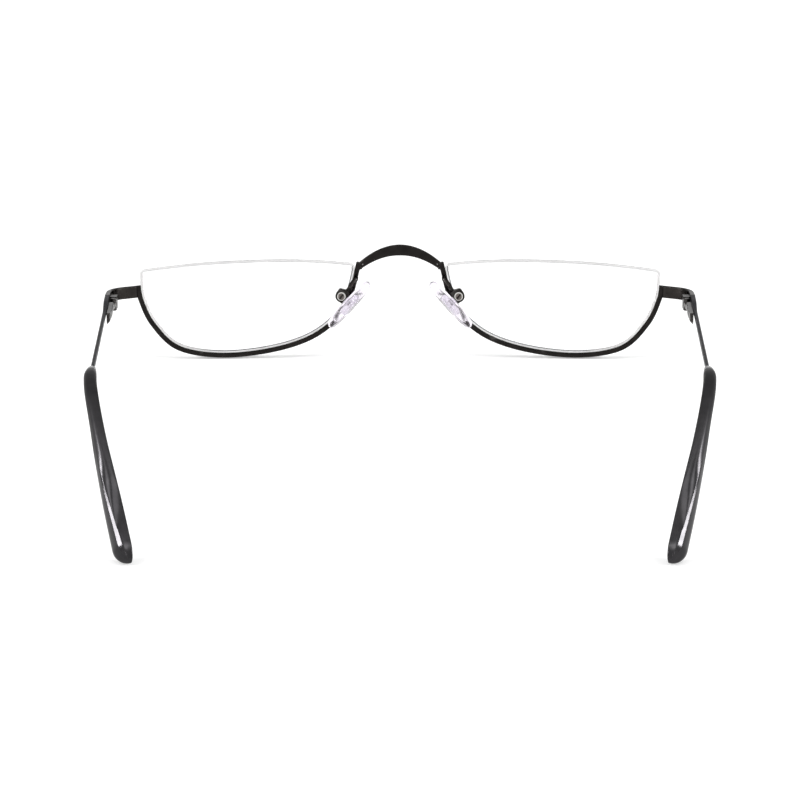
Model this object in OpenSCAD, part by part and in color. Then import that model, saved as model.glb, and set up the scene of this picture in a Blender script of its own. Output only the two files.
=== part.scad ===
// Half-moon reading glasses: a metal rim below each lens, a bare lens top held by a nylon
// cord, and spring hinges. Everything is drawn as worn, x to the wearer's left, y to the rear
// and z up from the underside of the rims, and then tilted to stand on the rims and arm tips.
// Each paired piece is drawn on the wearer's left and mirrored for the right.

/* [Lenses] */
// Width of each lens
lens_w = 51.2; // [46:0.1:56]
// Height of each lens
lens_h = 22.3; // [19:0.1:27]
// Gap between the two lenses
lens_gap = 21; // [17:0.1:25]
// Thickness in the middle of a lens
lens_middle = 2.6; // [2.4:0.1:3.2]
// Radius of a lens's front face
lens_front_r = 105; // [90:1:140]
// Radius of a lens's rear face, flatter than the front for a reading power
lens_rear_r = 170; // [150:1:260]
// Depth of the groove round a lens's edge
groove_depth = 0.56; // [0.4:0.02:0.6]
// Width of that groove
groove_w = 0.6; // [0.5:0.02:0.7]
// Thickness of the nylon cord in the groove of the bare edge
cord_d = 0.54; // [0.4:0.02:0.56]

/* [Rims and bridge] */
// Width of the rim wire as seen from the front
rim_w = 1; // [0.8:0.05:1.4]
// Depth of the rim wire from front to rear
rim_depth = 2; // [1.6:0.05:2.6]
// Gap between a lens's edge and its rim
rim_seat = 0.05; // [0.02:0.01:0.1]
// Depth of the channel inside the rim for the nylon liner
channel_depth = 0.34; // [0.2:0.02:0.5]
// How far the rim stands up past the lens's inner corner
rim_horn = 2.3; // [0.8:0.1:2.6]
// Lean of the front towards the cheeks, in degrees
face_lean = 7; // [4:0.5:10]
// Rise of the bridge's middle above the lenses
bridge_rise = 3.65; // [2.4:0.05:5.8]
// Drop of the bridge's centre line from its middle to its ends
bridge_drop = 4.1; // [3:0.1:5]
// Height of the bridge strap in its middle
bridge_h = 2.6; // [1.8:0.1:3]
// Height of the bridge strap at its ends
bridge_end_h = 1.4; // [1.2:0.1:2.4]
// Depth of the bridge strap from front to rear
bridge_depth = 1.3; // [1:0.1:1.8]
// How far the bridge's middle lies in front of its ends
bridge_bow = 1; // [0.4:0.1:2]

/* [Endpieces and hinges] */
// Drop of the endpiece strap's top below the top of the lenses
strap_below = 5.85; // [4.2:0.05:7.6]
// Height of the endpiece strap
strap_h = 2.8; // [2.6:0.1:3.6]
// Thickness of the endpiece strap
strap_t = 1.1; // [0.9:0.05:1.3]
// Angle of the strap's first stretch towards the rear, in degrees
strap_angle = 30; // [20:1:40]
// Outer radius of the strap's corner
strap_bend_r = 6.5; // [5:0.1:8]
// How far the endpieces reach past the lenses, to each side
endpiece_reach = 7.4; // [6.8:0.1:8.4]
// Distance of the hinge pin behind the end of the strap's corner
hinge_back = 3.8; // [3.7:0.1:4.6]
// Distance of the hinge pin from the inner face of the strap
hinge_offset = 0.87; // [0.86:0.01:1.1]
// Radius of the hinge ears
ear_r = 0.76; // [0.7:0.01:0.78]
// Height of the two ears together
hinge_h = 2.7; // [2.4:0.05:3]
// Height of the slot between the ears
ear_slot = 1; // [0.8:0.05:1.1]
// Drop of the hinge's middle below the strap's middle
hinge_drop = 0.95; // [0.6:0.05:1]
// Length of the hinge leaf in front of the pin
leaf_len = 3.6; // [3:0.1:3.8]
// Rise of the leaf above its ears
leaf_rise = 0.35; // [0.2:0.05:0.5]
// Diameter of the hinge pin
pin_d = 0.7; // [0.6:0.02:0.76]
// Radial clearance of a pin in its bore
pin_clearance = 0.04; // [0.02:0.01:0.05]
// Diameter of the hinge screw's head
pin_head_d = 1.2; // [1:0.02:1.24]
// Travel of the spring hinge
spring_travel = 0.8; // [0.5:0.05:1]
// Length of the spring housing
housing_len = 13.2; // [12.6:0.1:15]
// Width of the spring housing
housing_w = 1.16; // [1.12:0.01:1.4]
// Distance of the housing's mouth behind the pin
housing_start = 3.8; // [3.2:0.1:4.2]
// Diameter of the bore in the housing
housing_bore = 0.88; // [0.84:0.01:0.9]
// Thickness of the spring's wire
spring_wire = 0.18; // [0.14:0.01:0.2]
// Number of curls in the spring
spring_curls = 9; // [7:1:10]
// Rise of one curl
spring_pitch = 0.76; // [0.7:0.01:0.8]
// Diameter of the slider's shank inside the spring
shank_d = 0.32; // [0.28:0.01:0.34]

/* [Arms] */
// Length of the arm from the pin to the tip, along its curve
arm_len = 135; // [128:1:142]
// Thickness of the metal arm behind the housing
arm_t = 0.75; // [0.7:0.05:1.1]
// Height of the arm behind the housing
arm_h = 1.3; // [0.9:0.05:1.6]
// Inward turn of the arms, in degrees
toe_in = 2.45; // [1.5:0.05:3.5]
// Length of the arm to the middle of its ear bend
bend_at = 97; // [90:1:100]
// Drop of the arm behind the ear, in degrees
ear_drop = 47; // [40:1:50]
// Radius of the ear bend
ear_bend_r = 28; // [20:1:36]
// Inward turn of the tips over their length, in degrees
tip_turn = 11.55; // [6:0.05:14]
// Twist of the tips' outer side upwards, in degrees
tip_twist = 26; // [10:1:30]
// Length at which the tips start to curve inward
inward_from = 77; // [74:1:84]
// Length of the plastic tip sleeve
sleeve_len = 60.5; // [56:0.5:64]
// Thickness of the sleeve at its mouth
sleeve_mouth_t = 2.4; // [2:0.1:2.6]
// Thickness of the sleeve near its end
sleeve_end_t = 2.8; // [2.4:0.1:3.4]
// Height of the sleeve at its mouth
sleeve_mouth_h = 3.5; // [3.3:0.1:4]
// Height of the sleeve near its end
sleeve_end_h = 5.3; // [4.4:0.1:6.4]
// Clearance between the sleeve and the metal inside it
sleeve_clearance = 0.06; // [0.03:0.01:0.1]

/* [Nose pads] */
// Length of a nose pad
pad_len = 14.2; // [13:0.2:16]
// Width of a nose pad
pad_w = 7.4; // [6.4:0.2:8]
// Thickness of a nose pad
pad_t = 2.3; // [1.8:0.1:2.4]
// Lean of a pad from the upright, in degrees
pad_lean = 42; // [36:1:46]
// Turn of a pad's rear edge away from the nose, in degrees
pad_splay = 12; // [6:1:18]
// Sideways place of the pad screw from the middle of the bridge
pad_screw_x = 13.8; // [13.2:0.1:14.6]
// Drop of the pad screw below the top of the lenses
pad_screw_below = 8.15; // [7.2:0.05:9.1]
// Distance of the pad screw's middle behind the front
pad_screw_y = 7.7; // [7.4:0.1:8.4]
// Distance from the pad screw to the middle of the pad
pad_standoff = 2.7; // [2.6:0.05:2.9]
// Thickness of the wire of the pad arm
pad_wire_d = 1.2; // [0.8:0.05:1.3]
// Width of the slot in the pad box
pad_slot = 1.3; // [1.1:0.05:1.5]
// Clearance on each side of the tab in that slot
tab_clearance = 0.05; // [0.03:0.01:0.1]
// Diameter of the pad screw
pad_screw_d = 0.9; // [0.8:0.02:1]

/* [Hidden] */
PAIRED = ["rim", "rim_liner", "lens", "lens_cord", "pad_arm", "pad_box", "pad_screw", "nose_pad",
    "pad_core", "endpiece", "hinge_leaf", "hinge_screw", "hinge_slider", "hinge_bush",
    "hinge_spring", "hinge_housing", "temple", "temple_tip"];

METAL = "#2b2624";
STEEL = "#b9b8b4";
BLACK = "#121216";
CLEAR = "#eef0f4";
PAD_CLEAR = "#ece6f2";

// Roundness of the bores and pins, and of the large lens spheres
$fn = 48;
LENS_FN = 240;
// Samples on each stretch of a curve between two chosen points
STEPS = 5;

// Lens outline
lens_x = lens_gap / 2;
lens_low = rim_w + rim_seat;
lens_mid_x = lens_x + lens_w / 2;
lens_mid_z = lens_low + lens_h / 2;
lens_top = lens_low + lens_h;
bridge_top = lens_top + bridge_rise;
strap_top = lens_top - strap_below;
pad_screw_z = lens_top - pad_screw_below;
mean_r = 2 / (1 / lens_front_r + 1 / lens_rear_r);
// Lower edge as shares of the lens's width and height, from the endpiece round to the bridge
RIM_SHARES = [[0.986, 0.580], [0.934, 0.329], [0.821, 0.080], [0.625, 0], [0.391, 0.056],
    [0.203, 0.202], [0.074, 0.444], [0.028, 0.668], [0.004, 0.885]];
// Slightly bowed top edge, from the bridge to the endpiece
TOP_SHARES = [[0.035, 0.972], [0.17, 0.993], [0.38, 1], [0.70, 0.969], [0.965, 0.906]];
CORNER_SHARES = [[0, 0.97], [1, 0.895]];
BARE_SIDE_SHARE = [0.9995, 0.85];
// Height at which the rim meets the endpiece, as worn and up the leaning front
rim_end = [lens_x + lens_w * 0.998, strap_top / cos(face_lean) - 0.25];

function on_lens(share) = [lens_x + lens_w * share.x, lens_low + lens_h * share.y];
function spline_point(a, b, c, d, t) = (2 * b + (c - a) * t + (2 * a - 5 * b + 4 * c - d) * t * t
    + (3 * b - a - 3 * c + d) * t * t * t) / 2;
function spline(p, steps) = concat([for (i = [0 : len(p) - 2], k = [0 : steps - 1])
    spline_point(p[max(i - 1, 0)], p[i], p[i + 1], p[min(i + 2, len(p) - 1)], k / steps)],
    [p[len(p) - 1]]);
function corner(a, b, c, steps) = [for (k = [1 : steps - 1])
    let (t = k / steps) a * (1 - t) * (1 - t) + b * 2 * t * (1 - t) + c * t * t];
// Unit normal to the left of a path at its point i, which is away from the lens
function away(p, i, closed = false) =
    let (n = len(p),
        a = p[closed ? (i + n - 1) % n : max(i - 1, 0)],
        b = p[closed ? (i + 1) % n : min(i + 1, n - 1)],
        d = (b - a) / norm(b - a))
    [-d.y, d.x];
function widened(p, by) = [for (i = [0 : len(p) - 1]) p[i] + away(p, i, true) * by];
// Depth of the lens's middle surface behind the front plane
function sag(p) = mean_r - sqrt(pow(mean_r, 2) - pow(p.x - lens_mid_x, 2) - pow(p.y - lens_mid_z, 2));

rim_edge = spline(concat([rim_end], [for (share = RIM_SHARES) on_lens(share)]), STEPS);
rim_last = rim_edge[len(rim_edge) - 1];
rim_way = (rim_last - rim_edge[len(rim_edge) - 2]) / norm(rim_last - rim_edge[len(rim_edge) - 2]);
bare_edge = concat(
    [rim_last],
    corner(rim_last, on_lens(CORNER_SHARES[0]), on_lens(TOP_SHARES[0]), 4),
    spline([for (share = TOP_SHARES) on_lens(share)], 4),
    corner(on_lens(TOP_SHARES[4]), on_lens(CORNER_SHARES[1]), on_lens(BARE_SIDE_SHARE), 4),
    [on_lens(BARE_SIDE_SHARE), rim_end]);
lens_outline = concat(rim_edge, [for (i = [1 : len(bare_edge) - 2]) bare_edge[i]]);
rim_path = concat(rim_edge, [rim_last + rim_way * rim_horn / 2, rim_last + rim_way * rim_horn]);

// A solid skin over rings that hold the same number of points each. A hollow section names the
// triangles that close its ends
module skin(rings, cap = []) {
    n = len(rings);
    m = len(rings[0]);
    first = cap == [] ? [[for (j = [m - 1 : -1 : 0]) j]] : [for (t = cap) [t[2], t[1], t[0]]];
    last = cap == [] ? [[for (j = [0 : m - 1]) j]] : cap;
    sides = [for (i = [0 : n - 2], j = [0 : m - 1]) let (k = (j + 1) % m)
        [[i * m + j, i * m + k, (i + 1) * m + k], [i * m + j, (i + 1) * m + k, (i + 1) * m + j]]];
    polyhedron(
        points = [for (ring = rings, p = ring) p],
        faces = concat([for (pair = sides, face = pair) face], first,
            [for (face = last) [for (j = face) (n - 1) * m + j]]));
}

// Rings of a section [outward, rearward] swept along a path on the lens's middle surface
function front_rings(path, section) = [for (i = [0 : len(path) - 1])
    [for (s = section) let (p = path[i] + away(path, i) * s.x) [p.x, sag(p) + s.y, p.y]]];
function round_section(d, sides, shift = 0) =
    [for (k = [0 : sides - 1]) [shift + d / 2 * cos(k * 360 / sides), d / 2 * sin(k * 360 / sides)]];

// Places
module hand_left() {
    stand() children();
}
module hand_right() {
    stand() mirror([1, 0, 0]) children();
}
module on_front() {
    rotate([face_lean, 0, 0]) children();
}
function leaned(p) = [p.x, p.y * cos(face_lean) - p.z * sin(face_lean),
    p.y * sin(face_lean) + p.z * cos(face_lean)];
half_width = lens_x + lens_w + endpiece_reach;
// The strap's outer face leaves the rim at its middle depth, and runs straight to its corner
rim_outer_x = rim_end.x + rim_seat + rim_w;
strap_corner = [half_width - strap_bend_r, leaned([rim_end.x, sag(rim_end), rim_end.y]).y
    + (half_width - strap_bend_r * (1 - sin(strap_angle)) - rim_outer_x) * tan(strap_angle)
    + strap_bend_r * cos(strap_angle)];
hinge_x = half_width - strap_t - hinge_offset;
hinge_y = strap_corner.y + hinge_back;
strap_mid_z = strap_top - strap_h / 2;
hinge_z = strap_mid_z - hinge_drop;
module at_pin() {
    translate([hinge_x, hinge_y, hinge_z]) children();
}
module along_arm() {
    at_pin() rotate([0, 0, toe_in]) children();
}
module at_pad_screw() {
    on_front() translate([pad_screw_x, pad_screw_y, pad_screw_z]) rotate([0, -pad_lean, 0]) children();
}
// A flat shape, drawn in x and z, given a depth along y
module slab(depth) {
    rotate([90, 0, 0]) linear_extrude(depth, center = true) children();
}
module along_y(length) {
    rotate([-90, 0, 0]) linear_extrude(length) children();
}

// Rims, lenses and what holds them
module rim() {
    inner = rim_seat;
    outer = rim_seat + rim_w;
    half = rim_depth / 2;
    edge = 0.22;
    slot = groove_w / 2;
    section = [[inner, slot], [inner + channel_depth, slot], [inner + channel_depth, -slot],
        [inner, -slot], [inner, -half + edge], [inner + edge, -half], [outer - edge, -half],
        [outer, -half + edge], [outer, half - edge], [outer - edge, half], [inner + edge, half],
        [inner, half - edge]];
    cap = [[11, 0, 1], [11, 1, 10], [10, 1, 9], [9, 1, 8], [8, 1, 2], [8, 2, 7], [7, 2, 6],
        [6, 2, 5], [5, 2, 4], [4, 2, 3]];
    color(METAL) on_front() skin(front_rings(rim_path, section), cap);
}
liner_gap = 0.03;
module rim_liner() {
    half = groove_w / 2 - liner_gap;
    inner = liner_gap - groove_depth;
    outer = rim_seat + channel_depth - liner_gap;
    section = [[inner, half], [outer, half], [outer, -half], [inner, -half]];
    color(CLEAR) on_front() skin([for (ring = front_rings(rim_edge, section))
        [for (k = [len(ring) - 1 : -1 : 0]) ring[k]]]);
}
module lens_ball(radius, vertex) {
    translate([lens_mid_x, vertex + radius, lens_mid_z]) sphere(radius, $fn = LENS_FN);
}
module lens() {
    deep = 40;
    color(CLEAR) on_front() difference() {
        intersection() {
            slab(deep) polygon(lens_outline);
            lens_ball(lens_front_r, -lens_middle / 2);
        }
        lens_ball(lens_rear_r, lens_middle / 2);
        intersection() {
            difference() {
                slab(deep) polygon(widened(lens_outline, 1));
                slab(deep) polygon(widened(lens_outline, -groove_depth));
            }
            difference() {
                lens_ball(mean_r, -groove_w / 2);
                lens_ball(mean_r, groove_w / 2);
            }
        }
    }
}
module lens_cord() {
    middle = cord_d / 2 + liner_gap - groove_depth;
    inset = 0.2;
    n = len(bare_edge);
    first = bare_edge[0] + (bare_edge[1] - bare_edge[0]) * inset;
    last = bare_edge[n - 1] + (bare_edge[n - 2] - bare_edge[n - 1]) * inset;
    path = concat([first], [for (i = [1 : n - 2]) bare_edge[i]], [last]);
    rings = front_rings(path, round_section(cord_d, 6, middle));
    color(CLEAR) on_front() skin(rings);
}

// Bridge: an arched strap cut to the sides of the two rims
bridge_reach = lens_x - rim_w / 2;
BRIDGE_SHAPE = 2;
BRIDGE_TAPER = 1.5;
BRIDGE_STEPS = 12;
module bridge() {
    half = bridge_depth / 2;
    edge = 0.3;
    end_y = sag([lens_x, lens_top]);
    mid_z = bridge_top - bridge_h / 2;
    horn = len(rim_path) - 1;
    rings = [for (i = [-BRIDGE_STEPS : BRIDGE_STEPS])
        let (share = i / BRIDGE_STEPS,
            x = share * bridge_reach,
            z = mid_z - bridge_drop * pow(abs(share), BRIDGE_SHAPE),
            slope = -bridge_drop / bridge_reach * BRIDGE_SHAPE * pow(abs(share), BRIDGE_SHAPE - 1)
                * sign(share),
            y = end_y - bridge_bow * (1 - share * share),
            h = (bridge_end_h + (bridge_h - bridge_end_h) * (1 - pow(abs(share), BRIDGE_TAPER))) / 2,
            up = [-slope, 1] / norm([slope, 1]))
        [for (s = [[-half + edge, h], [half - edge, h], [half, h - edge], [half, edge - h],
            [half - edge, -h], [-half + edge, -h], [-half, edge - h], [-half, h - edge]])
            [x + up.x * s.y, y + s.x, z + up.y * s.y]]];
    color(METAL) difference() {
        on_front() skin(rings);
        for (side = [0, 1]) mirror([side, 0, 0]) on_front()
            slab(lens_gap) polygon(concat(
                [for (i = [0 : horn]) rim_path[i] + away(rim_path, i) * (rim_seat + rim_w)],
                [rim_path[horn] + away(rim_path, horn) * rim_seat, [lens_mid_x, bridge_top]]));
    }
}

// Endpiece: a strap from the rim round the corner to the hinge
module endpiece() {
    bend = [for (a = [-90 + strap_angle : 12 : 0]) [cos(a), sin(a)]];
    way = [cos(strap_angle), sin(strap_angle)];
    outer = [for (b = bend) strap_corner + b * strap_bend_r];
    inner = [for (b = bend) strap_corner + b * (strap_bend_r - strap_t)];
    first_len = (outer[0].x - rim_outer_x + rim_w / 2) / cos(strap_angle);
    color(METAL) difference() {
        translate([0, 0, strap_top - strap_h]) linear_extrude(strap_h)
            polygon(concat([outer[0] - way * first_len], outer, [[half_width, hinge_y],
                [half_width - strap_t, hinge_y]], [for (i = [len(inner) - 1 : -1 : 0]) inner[i]],
                [inner[0] - way * first_len]));
        on_front() slab(lens_w) polygon(concat(
            [[lens_mid_x, bridge_top], [rim_outer_x, bridge_top]],
            [for (i = [0 : 3 * STEPS]) rim_path[i] + away(rim_path, i) * (rim_seat + rim_w)]));
    }
}

// Spring hinge
module hinge_leaf() {
    half = hinge_h / 2;
    head_seat = 0.2;
    shoulder = ear_r + 0.05;
    color(METAL) at_pin() difference() {
        union() {
            translate([0, 0, -half]) cylinder(h = hinge_h, r = ear_r);
            translate([-ear_r, -leaf_len, -half]) cube([ear_r + hinge_offset, leaf_len, hinge_h]);
            translate([-ear_r, -leaf_len, 0])
                cube([ear_r + hinge_offset, leaf_len - shoulder, half + leaf_rise]);
        }
        translate([-2 * ear_r, -ear_r - 0.1, -ear_slot / 2]) cube([5 * ear_r, 5 * ear_r, ear_slot]);
        cylinder(h = hinge_h + 1, d = pin_d + 2 * pin_clearance, center = true);
        translate([0, 0, half - head_seat])
            cylinder(h = 1, d = pin_head_d + 2 * pin_clearance);
    }
}
module slotted_screw(shank_d, shank_len, head_d, head_h) {
    slot_w = head_d * 0.14;
    difference() {
        union() {
            translate([0, 0, -shank_len]) cylinder(h = shank_len, d = shank_d);
            cylinder(h = head_h, d = head_d);
        }
        translate([-head_d, -slot_w / 2, head_h * 0.5]) cube([2 * head_d, slot_w, head_h]);
    }
}
module hinge_screw() {
    head_seat = 0.18;
    head_h = 0.36;
    color(STEEL) at_pin() translate([0, 0, hinge_h / 2 - head_seat])
        slotted_screw(pin_d, hinge_h - head_seat, pin_head_d, head_h);
}
bush_len = 1;
bush_gap = 0.05;
spring_from = housing_start + bush_len + bush_gap;
spring_len = spring_curls * spring_pitch + spring_wire;
// The housing's bore lies beside the pin, above its chamfer, and the slider is cranked to it
bore_x = hinge_offset - housing_w / 2;
bore_z = 0.25;
module along_bore(from, length, d) {
    translate([bore_x, from, bore_z]) rotate([-90, 0, 0]) cylinder(h = length, d = d);
}
module hinge_slider() {
    eye_h = ear_slot - 0.08;
    eye_r = ear_r - 0.02;
    bar_half = 0.5;
    head_from = spring_from + spring_len + bush_gap;
    head_len = 0.6;
    stop_from = spring_from + spring_travel;
    color(STEEL) along_arm() difference() {
        union() {
            translate([0, 0, -eye_h / 2]) cylinder(h = eye_h, r = eye_r);
            translate([0, 0, -eye_h / 2]) linear_extrude(eye_h)
                polygon([[-bar_half, 0], [bar_half, 0], [bore_x + bar_half, 1.2],
                    [bore_x + bar_half, housing_start - bush_gap],
                    [bore_x - bar_half, housing_start - bush_gap], [-bar_half, 2]]);
            along_bore(housing_start - 1, head_from - housing_start + 1.1, shank_d);
            along_bore(stop_from, head_from - stop_from + 0.1, shank_d + 0.08);
            along_bore(head_from, head_len, housing_bore - 0.1);
        }
        cylinder(h = 2, d = pin_d + 2 * pin_clearance, center = true);
    }
}
module hinge_bush() {
    color(STEEL) along_arm() difference() {
        along_bore(housing_start, bush_len, housing_bore - 0.02);
        along_bore(housing_start - 1, bush_len + 2, shank_d + 2 * pin_clearance);
    }
}
// Helical spring: one unbroken tube of six sides, eight rings a curl
spring_r = housing_bore / 2 - spring_wire / 2 - 0.02;
RINGS_A_CURL = 8;
function helix(t) = [bore_x + spring_r * cos(360 * t),
    spring_from + spring_wire / 2 + spring_pitch * t, bore_z + spring_r * sin(360 * t)];
module hinge_spring() {
    rings = [for (i = [0 : spring_curls * RINGS_A_CURL])
        let (t = i / RINGS_A_CURL,
            out = [cos(360 * t), 0, sin(360 * t)],
            way = [-sin(360 * t) * spring_r * 2 * PI, spring_pitch, cos(360 * t) * spring_r * 2 * PI],
            side = cross(out, way) / norm(way))
        [for (k = [0 : 5]) helix(t) + (out * cos(60 * k) + side * sin(60 * k)) * spring_wire / 2]];
    color(STEEL) along_arm() skin(rings);
}
// Least gap of the spring to itself: between points a curl apart, and across its bore
spring_self_gap = min([for (i = [0 : RINGS_A_CURL], k = [RINGS_A_CURL / 2 : RINGS_A_CURL + 4])
    norm(helix(i / RINGS_A_CURL) - helix((i + k) / RINGS_A_CURL)) - spring_wire]);
echo(spring_self_gap_mm = spring_self_gap);
module hinge_housing() {
    half = hinge_h / 2;
    in = hinge_offset - housing_w;
    out = hinge_offset;
    low_w = housing_w - 0.2;
    top_cut = 0.2;
    end = housing_start + housing_len;
    nose = 1.1;
    end_taper = 0.4;
    cavity_end = spring_from + spring_len + bush_gap + 1;
    color(METAL) along_arm() difference() {
        intersection() {
            translate([0, housing_start, 0]) along_y(housing_len)
                polygon([[out, half], [out, -half], [in + top_cut, -half], [in, top_cut - half],
                    [in, 0], [in + low_w, half]]);
            rotate([90, 0, 90]) linear_extrude(housing_len, center = true)
                polygon([[0, -half], [end - nose, -half], [end - nose / 4, -half / 2], [end, half / 4],
                    [end - nose / 3, half], [0, half]]);
            linear_extrude(housing_len, center = true)
                polygon([[out, 0], [out, end], [in + end_taper, end], [in, cavity_end], [in, 0]]);
        }
        along_bore(housing_start - 1, cavity_end - housing_start + 1, housing_bore);
    }
}

// Arms: a side profile with the ear bend, and a plan that turns inward at the tip
arm_centre = hinge_offset + strap_t / 2;
arm_rise = hinge_drop;
bend_from = bend_at - ear_bend_r * tan(ear_drop / 2);
bend_to = bend_from + ear_bend_r * ear_drop * PI / 180;
// The tips turn inward over this share of the length behind inward_from, and then run straight
INWARD_SHARE = 0.586;
inward_full = INWARD_SHARE * (arm_len - inward_from);
function drop_angle(a) = ear_drop * min(max((a - bend_from) / (bend_to - bend_from), 0), 1);
function arm_y(a) = a < bend_from ? a
    : bend_from + ear_bend_r * sin(drop_angle(a)) + max(a - bend_to, 0) * cos(ear_drop);
function arm_z(a) = a < bend_from ? 0
    : -ear_bend_r * (1 - cos(drop_angle(a))) - max(a - bend_to, 0) * sin(ear_drop);
function arm_x(a) =
    let (b = max(a - inward_from, 0), c = min(b, inward_full))
    arm_centre - tan(tip_turn) * (c * c / 2 / inward_full + b - c);
function arm_point(a) = [arm_x(a), arm_y(a), arm_z(a) + arm_rise];
// Ring of eight-sided or rounder outline across the arm at length a
function arm_ring(a, t, h, section) =
    let (step = 0.01,
        d = arm_point(a + step) - arm_point(a - step),
        way = d / norm(d),
        side = [1, 0, 0] - way * way.x,
        level = side / norm(side),
        twist = tip_twist * smooth(blend(a, bend_from, full_from)),
        out = level * cos(twist) + cross(level, way) * sin(twist),
        up = cross(out, way))
    [for (s = section) arm_point(a) + out * s.x * t / 2 + up * s.y * h / 2];
function strip_section(edge) = [[1, -edge], [1, edge], [edge, 1], [-edge, 1],
    [-1, edge], [-1, -edge], [-edge, -1], [edge, -1]];
SLEEVE_SIDES = 14;
SQUARENESS = 0.72;
sleeve_section = [for (k = [0 : SLEEVE_SIDES - 1])
    let (c = cos(k * 360 / SLEEVE_SIDES), s = sin(k * 360 / SLEEVE_SIDES))
    [sign(c) * pow(abs(c), SQUARENESS), sign(s) * pow(abs(s), SQUARENESS)]];
sleeve_from = arm_len - sleeve_len;
// The metal inside a sleeve ends a little before the sleeve has its full size
core_end = arm_len - 1.13 * sleeve_end_h;
full_from = arm_len - 1.5 * sleeve_end_h;
// The arm is as tall as the strap at the housing's mouth, and slim behind the housing
taper_from = housing_start + 1.2;
taper_to = housing_start + housing_len;
function blend(a, from, to) = min(max((a - from) / (to - from), 0), 1);
function smooth(t) = t * t * (3 - 2 * t);
function metal_t(a) = strap_t + (arm_t - strap_t) * smooth(blend(a, taper_from, taper_to));
function metal_h(a) = strap_h + (arm_h - strap_h) * smooth(blend(a, taper_from, taper_to));
function arm_samples(from, to, straight, curved) = concat(
    from < bend_from ? [for (i = [0 : straight - 1]) from + (bend_from - from) * i / straight] : [],
    [for (i = [0 : curved]) max(from, bend_from) + (to - max(from, bend_from)) * i / curved]);
ARM_GAP = 0.15;
core_samples = arm_samples(sleeve_from, core_end, 3, 13);
module temple() {
    color(METAL) along_arm()
        skin([for (a = concat([for (k = [0 : 7]) ARM_GAP + (taper_to - ARM_GAP) * k / 8],
            [for (k = [0 : 3]) taper_to + (sleeve_from - taper_to) * k / 4], core_samples))
            arm_ring(a, metal_t(a), metal_h(a), strip_section(0.7))]);
}
mouth_len = 0.86 * sleeve_mouth_h;
end_len = 0.68 * sleeve_end_h;
// The rounded end keeps to the inner side, by this share of the thickness
END_SHIFT = 0.42;
// The sleeve is slim and rounded at its mouth, and swells to a rounded end
function end_scale(a) =
    let (tip = blend(a, arm_len - end_len, arm_len))
    sqrt(max(1 - tip * tip, 0.02));
function sleeve_scale(a) =
    (0.74 + 0.26 * sin(90 * blend(a, sleeve_from, sleeve_from + mouth_len))) * end_scale(a);
function sleeve_t(a) = (sleeve_mouth_t + (sleeve_end_t - sleeve_mouth_t)
    * smooth(blend(a, bend_from, full_from))) * sleeve_scale(a);
function sleeve_h(a) = (sleeve_mouth_h + (sleeve_end_h - sleeve_mouth_h)
    * smooth(blend(a, sleeve_from + 2 * mouth_len, full_from))) * sleeve_scale(a);
sleeve_rings = [for (a = concat([for (k = [0, 0.27, 0.6]) sleeve_from + mouth_len * k],
    arm_samples(sleeve_from + mouth_len, arm_len - end_len, 3, 14),
    [for (k = [1 : 5]) arm_len - end_len * (1 - sin(18 * k))]))
    [for (p = arm_ring(a, sleeve_t(a), sleeve_h(a), sleeve_section))
        p - [sleeve_end_t * END_SHIFT * (1 - end_scale(a)), 0, 0]]];
module temple_tip() {
    fit = 2 * sleeve_clearance;
    socket = [for (a = concat(core_samples, [core_end + sleeve_clearance]))
        arm_ring(a, metal_t(a) + fit, metal_h(a) + fit, sleeve_section_round)];
    color(BLACK) along_arm()
        skin(concat([for (i = [len(socket) - 1 : -1 : 0]) socket[i]], sleeve_rings));
}
// The socket follows the metal strip with the sleeve's number of points
sleeve_section_round = [for (k = [0 : SLEEVE_SIDES - 1])
    let (c = cos(k * 360 / SLEEVE_SIDES), s = sin(k * 360 / SLEEVE_SIDES), m = max(abs(c), abs(s)))
    [c / m, s / m]];

// Nose pads
PAD_TAPER = 0.1;
PAD_SIDES = 24;
function pad_ring(share, level) = [for (k = [0 : PAD_SIDES - 1])
    let (c = cos(k * 360 / PAD_SIDES), s = sin(k * 360 / PAD_SIDES))
    [-level, pad_w / 2 * share * c * (1 - PAD_TAPER * s),
        pad_len / 2 * s * (1 - (1 - share) * pad_w / pad_len)]];
core_t = 0.7;
core_r = 1.6;
core_half_len = 2.8;
core_fit = 0.03;
module in_pad() {
    at_pad_screw() translate([-pad_standoff, 0, -0.3]) rotate([0, 0, -pad_splay]) children();
}
module core_plate(grow) {
    rotate([0, -90, 0]) linear_extrude(core_t + 2 * grow, center = true) hull()
        for (end = [-1, 1]) translate([end * (core_half_len - core_r), 0]) circle(core_r + grow);
}
tab_t = pad_slot - 2 * tab_clearance;
tab_r = 0.95;
neck_half = 0.75;
module pad_tab(grow) {
    translate([-pad_standoff + core_t / 2 - 0.2, -tab_t / 2 - grow, -neck_half - grow])
        cube([pad_standoff, tab_t + 2 * grow, 2 * (neck_half + grow)]);
}
module pad_core() {
    color(CLEAR) difference() {
        union() {
            in_pad() core_plate(0);
            at_pad_screw() pad_tab(0);
            at_pad_screw() rotate([90, 0, 0]) cylinder(h = tab_t, r = tab_r, center = true);
        }
        at_pad_screw() rotate([90, 0, 0])
            cylinder(h = tab_t + 1, d = pad_screw_d + 2 * pin_clearance, center = true);
    }
}
module nose_pad() {
    half = pad_t / 2;
    levels = [[0.55, -0.8], [0.84, -0.72], [0.97, -0.35], [1, 0.05], [0.94, 0.5], [0.76, 0.84], [0.45, 1]];
    color(PAD_CLEAR) difference() {
        in_pad() skin([for (l = levels) pad_ring(l[0], l[1] * half)]);
        in_pad() core_plate(core_fit);
        at_pad_screw() pad_tab(core_fit);
    }
}
box_half = pad_slot / 2 + 0.65;
box_r = 1.42;
box_top = 1.75;
nose_side = 1.2;
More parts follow.
